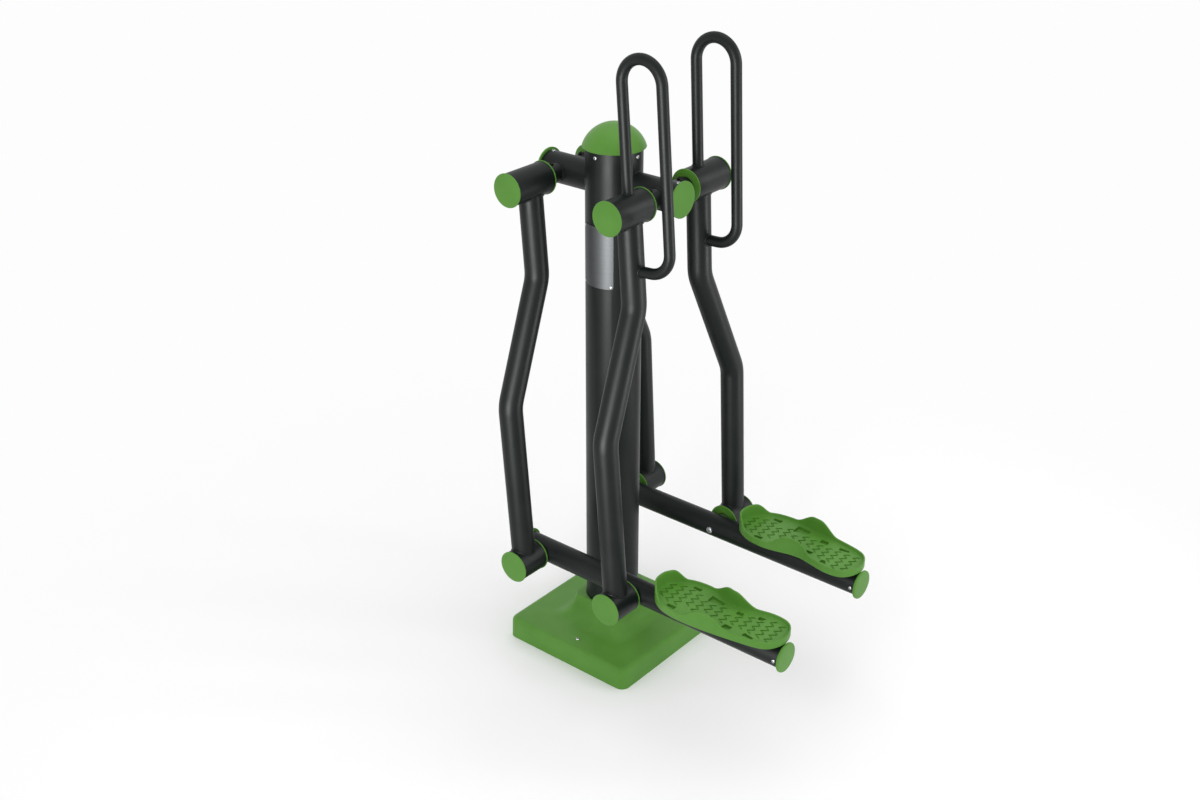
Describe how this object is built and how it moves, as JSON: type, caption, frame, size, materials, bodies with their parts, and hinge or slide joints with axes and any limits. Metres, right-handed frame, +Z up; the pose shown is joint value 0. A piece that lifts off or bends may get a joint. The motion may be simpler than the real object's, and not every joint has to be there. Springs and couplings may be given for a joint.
{
  "type": "outdoor air walker",
  "caption": "Ground-fixed outdoor air walker: a post with a crossbar, swinging arms that carry two level beams with footplates, and a handle loop on each front arm.",
  "frame": {"origin": "on the post's axis at ground level, the middle of the ground flange's underside", "axes": "+Z up; +Y the way the user faces, from the footplates towards the post; +X the user's right. The picture looks from the user's left and front of the footplates"},
  "size_m": [0.621, 0.8866, 1.6554],
  "materials": {
    "green_plastic": "moulded green plastic with a fine grain and a soft sheen",
    "graphite_paint": "satin graphite powder coat with a fine texture",
    "stainless_steel": "bare stainless steel, turned",
    "black_oxide_steel": "black oxide on steel",
    "turned_steel": "bright turned steel",
    "aluminium_sheet": "brushed anodised aluminium, bare"
  },
  "bodies": {
    "frame": {"ground_flange": "graphite_paint", "post": "graphite_paint", "base_cover": "green_plastic", "base_cover_screws": "stainless_steel", "post_cap": "green_plastic", "post_cap_screws": "stainless_steel", "crossbar": "graphite_paint", "crossbar_front_cap": "green_plastic", "crossbar_rear_cap": "green_plastic", "crossbar_cap_screws": "stainless_steel", "axle_sleeves": "graphite_paint", "stub_axles": "turned_steel", "axle_lock_bolts": "black_oxide_steel", "axle_nuts": "turned_steel", "bearing_spacers": "turned_steel", "info_plate": "aluminium_sheet", "info_plate_rivets": "stainless_steel"},
    "left_front_arm": {"left_front_arm_tube": "graphite_paint", "left_front_upper_hub": "graphite_paint", "left_front_lower_hub": "graphite_paint", "left_front_hub_caps": "green_plastic", "left_front_bearings": "turned_steel", "left_handle": "graphite_paint"},
    "left_rear_arm": {"left_rear_arm_tube": "graphite_paint", "left_rear_upper_hub": "graphite_paint", "left_rear_lower_hub": "graphite_paint", "left_rear_hub_caps": "green_plastic", "left_rear_bearings": "turned_steel"},
    "left_beam": {"left_beam": "graphite_paint", "left_beam_caps": "green_plastic", "left_beam_cap_screws": "stainless_steel", "left_pivot_axles": "turned_steel", "left_pivot_bolts": "stainless_steel", "left_pivot_nuts": "turned_steel", "left_pivot_spacers": "turned_steel", "left_plate_brackets": "graphite_paint", "left_plate_bolts": "stainless_steel", "left_footplate": "green_plastic"},
    "right_front_arm": {"right_front_arm_tube": "graphite_paint", "right_front_upper_hub": "graphite_paint", "right_front_lower_hub": "graphite_paint", "right_front_hub_caps": "green_plastic", "right_front_bearings": "turned_steel", "right_handle": "graphite_paint"},
    "right_rear_arm": {"right_rear_arm_tube": "graphite_paint", "right_rear_upper_hub": "graphite_paint", "right_rear_lower_hub": "graphite_paint", "right_rear_hub_caps": "green_plastic", "right_rear_bearings": "turned_steel"},
    "right_beam": {"right_beam": "graphite_paint", "right_beam_caps": "green_plastic", "right_beam_cap_screws": "stainless_steel", "right_pivot_axles": "turned_steel", "right_pivot_bolts": "stainless_steel", "right_pivot_nuts": "turned_steel", "right_pivot_spacers": "turned_steel", "right_plate_brackets": "graphite_paint", "right_plate_bolts": "stainless_steel", "right_footplate": "green_plastic"}
  },
  "joints": [
    {"name": "left_front_swing", "type": "hinge", "parent": "frame", "child": "left_front_arm", "pos_m": [-0.148, -0.1515, 1.2915], "axis": [1, 0, 0], "range_deg": [-27.5, 36.5]},
    {"name": "left_rear_swing", "type": "hinge", "parent": "frame", "child": "left_rear_arm", "pos_m": [-0.148, 0.1515, 1.2915], "axis": [1, 0, 0], "range_deg": [-27.5, 36.5]},
    {"name": "left_beam_pivot", "type": "hinge", "parent": "left_front_arm", "child": "left_beam", "pos_m": [-0.267, -0.22761, 0.32449], "axis": [1, 0, 0], "range_deg": [-36.5, 27.5]},
    {"name": "right_front_swing", "type": "hinge", "parent": "frame", "child": "right_front_arm", "pos_m": [0.148, -0.1515, 1.2915], "axis": [1, 0, 0], "range_deg": [-28.9, 35.1]},
    {"name": "right_rear_swing", "type": "hinge", "parent": "frame", "child": "right_rear_arm", "pos_m": [0.148, 0.1515, 1.2915], "axis": [1, 0, 0], "range_deg": [-28.9, 35.1]},
    {"name": "right_beam_pivot", "type": "hinge", "parent": "right_front_arm", "child": "right_beam", "pos_m": [0.267, -0.20396, 0.32292], "axis": [1, 0, 0], "range_deg": [-35.1, 28.9]}
  ],
  "couplings": [
    {"joint": "left_rear_swing", "follows": "left_front_swing", "ratio": 1},
    {"joint": "left_beam_pivot", "follows": "left_front_swing", "ratio": -1},
    {"joint": "right_rear_swing", "follows": "right_front_swing", "ratio": 1},
    {"joint": "right_beam_pivot", "follows": "right_front_swing", "ratio": -1}
  ]
}
